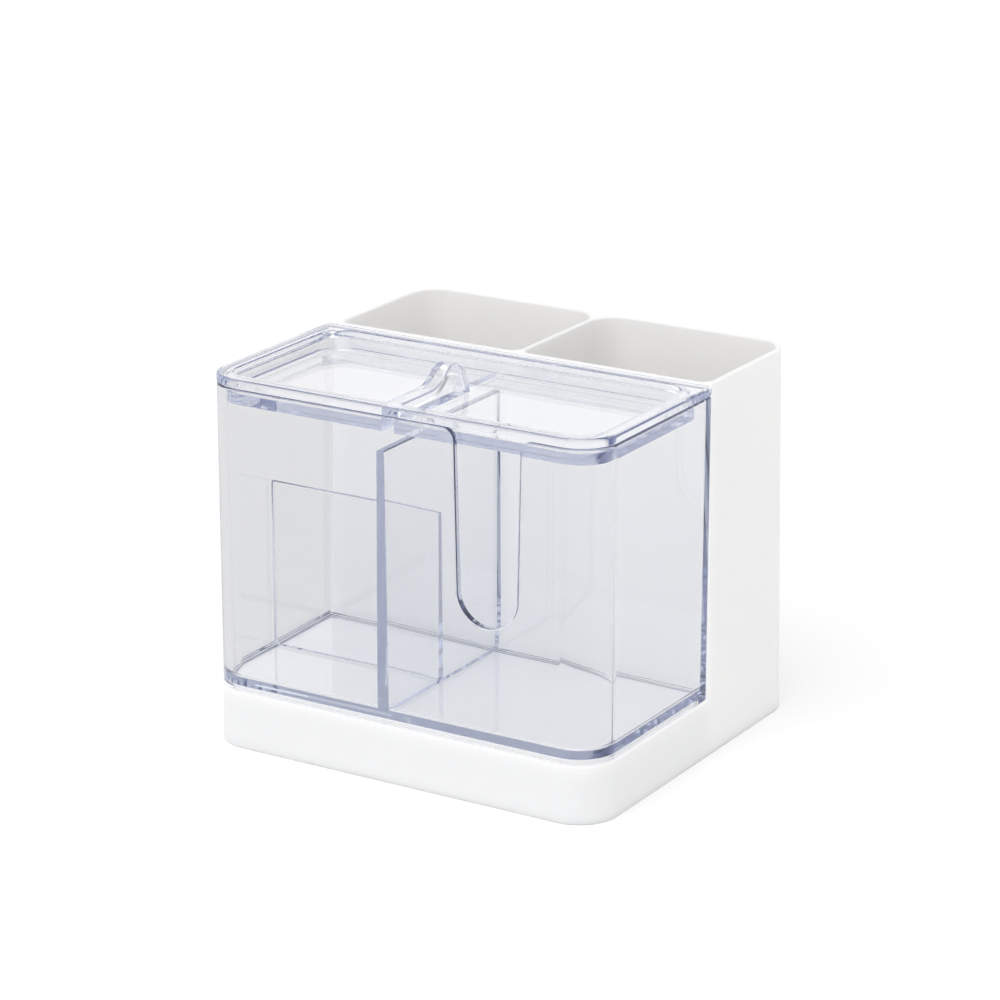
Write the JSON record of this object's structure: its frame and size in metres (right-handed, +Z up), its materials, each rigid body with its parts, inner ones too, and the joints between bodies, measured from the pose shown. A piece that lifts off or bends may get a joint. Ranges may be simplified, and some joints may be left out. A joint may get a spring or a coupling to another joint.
{
  "type": "makeup brush holder",
  "caption": "Desk organiser: white stand with open brush cups behind a low plinth, clear lift-off case with compartments and a finger slot, and a clear dished lid with a wave-shaped pull.",
  "frame": {"origin": "on the table, under the middle of the stand", "axes": "+X to the right as the finger slot faces the viewer, +Y from the front to the cups at the rear, +Z up"},
  "size_m": [0.12, 0.1092, 0.1067],
  "materials": {
    "white_plastic": "smooth satin white moulding",
    "clear_case_plastic": "polished clear moulding with faint blue edges",
    "clear_lid_plastic": "polished clear moulding with faint blue edges"
  },
  "bodies": {
    "stand": {"organiser_stand": "white_plastic"},
    "case": {"clear_case": "clear_case_plastic"},
    "lid": {"case_lid": "clear_lid_plastic"}
  },
  "joints": [
    {"name": "case_lift", "type": "slide", "parent": "stand", "child": "case", "axis": [0, 0, 1], "range_m": [0, 0.09]},
    {"name": "lid_lift", "type": "slide", "parent": "case", "child": "lid", "axis": [0, 0, 1], "range_m": [0, 0.04]}
  ]
}
